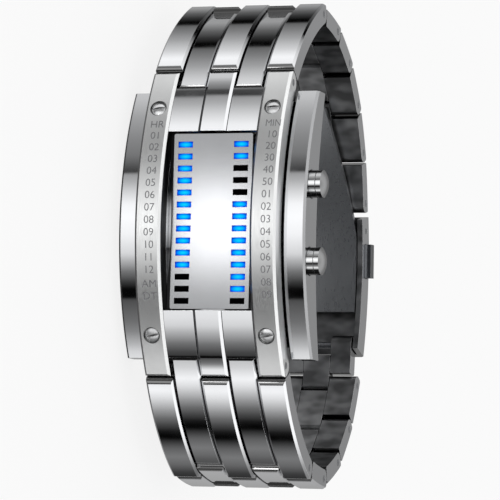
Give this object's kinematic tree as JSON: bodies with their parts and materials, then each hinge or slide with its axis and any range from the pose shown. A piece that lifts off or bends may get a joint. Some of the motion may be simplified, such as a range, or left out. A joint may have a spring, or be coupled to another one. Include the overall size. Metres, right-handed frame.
{
  "type": "bracelet watch",
  "caption": "Bracelet watch with a curved five-column steel case, a light-window display, side guards, side pushers, linked band and folding clasp.",
  "frame": {"origin": "centre of the left guard's flat outer face, on which the watch lies", "axes": "+Z from the 9 o'clock side up to the 3 o'clock side, along the wrist; -Y out of the display; -X towards 12 o'clock"},
  "size_m": [0.0882, 0.0623, 0.0374],
  "materials": {
    "brushed_steel": "brushed along the bars",
    "polished_steel": "polished",
    "leaf_steel": "satin",
    "screw_steel": "polished, worn",
    "pin_steel": "turned",
    "plate_finish": "fine blasted",
    "lit_window": "lit, clear",
    "dark_window": "smoked",
    "black_plastic": "moulded",
    "white_plastic": "moulded",
    "board_green": "solder resist",
    "cell_steel": "drawn",
    "contact_brass": "plain",
    "gasket_rubber": "moulded"
  },
  "bodies": {
    "head": {"case_body": "brushed_steel", "bezel_bar_left": "brushed_steel", "bezel_bar_right": "brushed_steel", "centre_bar_top": "polished_steel", "centre_bar_bottom": "polished_steel", "side_guard_left": "polished_steel", "side_guard_right": "polished_steel", "bezel_screws": "screw_steel", "display_plate": "plate_finish", "lit_windows": "lit_window", "dark_windows": "dark_window", "light_mask": "black_plastic", "led_chips": "white_plastic", "circuit_board": "board_green", "module_frame": "black_plastic", "battery": "cell_steel", "battery_contact": "contact_brass", "case_gasket": "gasket_rubber", "case_back": "brushed_steel", "case_back_screws": "screw_steel", "pusher_bushes": "contact_brass", "pusher_seals": "gasket_rubber", "pusher_spring_upper": "pin_steel", "pusher_spring_lower": "pin_steel", "lug_pins": "pin_steel"},
    "pusher_upper": {"pusher_upper": "polished_steel"},
    "pusher_lower": {"pusher_lower": "polished_steel"},
    "link_top_1": {"link_top_1": "polished_steel", "pin_top_1": "pin_steel"},
    "link_top_2": {"link_top_2": "polished_steel", "pin_top_2": "pin_steel"},
    "link_top_3": {"link_top_3": "polished_steel", "pin_top_3": "pin_steel"},
    "link_top_4": {"link_top_4": "polished_steel", "pin_top_4": "pin_steel"},
    "link_top_5": {"link_top_5": "polished_steel", "pin_top_5": "pin_steel"},
    "link_top_6": {"link_top_6": "polished_steel", "pin_top_6": "pin_steel"},
    "link_bottom_1": {"link_bottom_1": "polished_steel", "pin_bottom_1": "pin_steel"},
    "link_bottom_2": {"link_bottom_2": "polished_steel", "pin_bottom_2": "pin_steel"},
    "link_bottom_3": {"link_bottom_3": "polished_steel", "pin_bottom_3": "pin_steel"},
    "link_bottom_4": {"link_bottom_4": "polished_steel", "pin_bottom_4": "pin_steel"},
    "link_bottom_5": {"link_bottom_5": "polished_steel", "pin_bottom_5": "pin_steel"},
    "link_bottom_6": {"link_bottom_6": "polished_steel", "spring_bar": "pin_steel"},
    "clasp_inner_leaf": {"clasp_inner_leaf": "leaf_steel", "leaf_pin": "pin_steel"},
    "clasp_middle_leaf": {"clasp_middle_leaf": "leaf_steel"},
    "clasp_cover": {"clasp_cover": "polished_steel", "cover_pin": "pin_steel"},
    "clasp_button_left": {"clasp_button_left": "screw_steel"},
    "clasp_button_right": {"clasp_button_right": "screw_steel"}
  },
  "joints": [
    {"name": "hinge_top_1", "type": "hinge", "parent": "head", "child": "link_top_1", "pos_m": [-0.02505, 0.00149, 0.0172], "axis": [0, 0, 1], "range_deg": [0, 8]},
    {"name": "hinge_top_2", "type": "hinge", "parent": "link_top_1", "child": "link_top_2", "pos_m": [-0.04035, 0.01972, 0.0172], "axis": [0, 0, 1], "range_deg": [0, 33]},
    {"name": "hinge_top_3", "type": "hinge", "parent": "link_top_2", "child": "link_top_3", "pos_m": [-0.03867, 0.02927, 0.0172], "axis": [0, 0, 1], "range_deg": [0, 13]},
    {"name": "hinge_top_4", "type": "hinge", "parent": "link_top_3", "child": "link_top_4", "pos_m": [-0.03411, 0.03784, 0.0172], "axis": [0, 0, 1], "range_deg": [0, 13]},
    {"name": "hinge_top_5", "type": "hinge", "parent": "link_top_4", "child": "link_top_5", "pos_m": [-0.02714, 0.04457, 0.0172], "axis": [0, 0, 1], "range_deg": [0, 11]},
    {"name": "hinge_top_6", "type": "hinge", "parent": "link_top_5", "child": "link_top_6", "pos_m": [-0.01857, 0.04913, 0.0172], "axis": [0, 0, 1], "range_deg": [0, 9]},
    {"name": "clasp_leaf_hinge", "type": "hinge", "parent": "link_top_6", "child": "clasp_inner_leaf", "pos_m": [-0.00916, 0.05147, 0.0172], "axis": [0, 0, 1], "range_deg": [0, 30]},
    {"name": "clasp_fold", "type": "hinge", "parent": "clasp_inner_leaf", "child": "clasp_middle_leaf", "pos_m": [0.00934, 0.05212, 0.0172], "axis": [0, 0, -1], "range_deg": [0, 150]},
    {"name": "clasp_cover_turn", "type": "hinge", "parent": "clasp_middle_leaf", "child": "clasp_cover", "pos_m": [-0.00386, 0.05177, 0.0172], "axis": [0, 0, 1], "range_deg": [0, 150]},
    {"name": "hinge_bottom_1", "type": "hinge", "parent": "head", "child": "link_bottom_1", "pos_m": [0.02505, 0.00149, 0.0172], "axis": [0, 0, -1], "range_deg": [-3, 0]},
    {"name": "hinge_bottom_2", "type": "hinge", "parent": "link_bottom_1", "child": "link_bottom_2", "pos_m": [0.04235, 0.01784, 0.0172], "axis": [0, 0, -1], "range_deg": [-15, 0]},
    {"name": "hinge_bottom_3", "type": "hinge", "parent": "link_bottom_2", "child": "link_bottom_3", "pos_m": [0.04403, 0.02739, 0.0172], "axis": [0, 0, -1], "range_deg": [-15, 0]},
    {"name": "hinge_bottom_4", "type": "hinge", "parent": "link_bottom_3", "child": "link_bottom_4", "pos_m": [0.04071, 0.03651, 0.0172], "axis": [0, 0, -1], "range_deg": [-15, 0]},
    {"name": "hinge_bottom_5", "type": "hinge", "parent": "link_bottom_4", "child": "link_bottom_5", "pos_m": [0.03422, 0.04371, 0.0172], "axis": [0, 0, -1], "range_deg": [-15, 0]},
    {"name": "hinge_bottom_6", "type": "hinge", "parent": "link_bottom_5", "child": "link_bottom_6", "pos_m": [0.02582, 0.04856, 0.0172], "axis": [0, 0, -1], "range_deg": [-15, 0]},
    {"name": "pusher_upper_slide", "type": "slide", "parent": "head", "child": "pusher_upper", "axis": [0, 0, -1], "range_m": [0, 0.0008], "stiffness_N_per_m": 900, "deforming": ["pusher_spring_upper"]},
    {"name": "pusher_lower_slide", "type": "slide", "parent": "head", "child": "pusher_lower", "axis": [0, 0, -1], "range_m": [0, 0.0008], "stiffness_N_per_m": 900, "deforming": ["pusher_spring_lower"]},
    {"name": "clasp_button_left_slide", "type": "slide", "parent": "clasp_cover", "child": "clasp_button_left", "axis": [0, 0, 1], "range_m": [0, 0.0007], "stiffness_N_per_m": 1500},
    {"name": "clasp_button_right_slide", "type": "slide", "parent": "clasp_cover", "child": "clasp_button_right", "axis": [0, 0, -1], "range_m": [0, 0.0007], "stiffness_N_per_m": 1500}
  ],
  "couplings": [
    {"joint": "clasp_cover_turn", "follows": "clasp_fold", "ratio": 1}
  ]
}
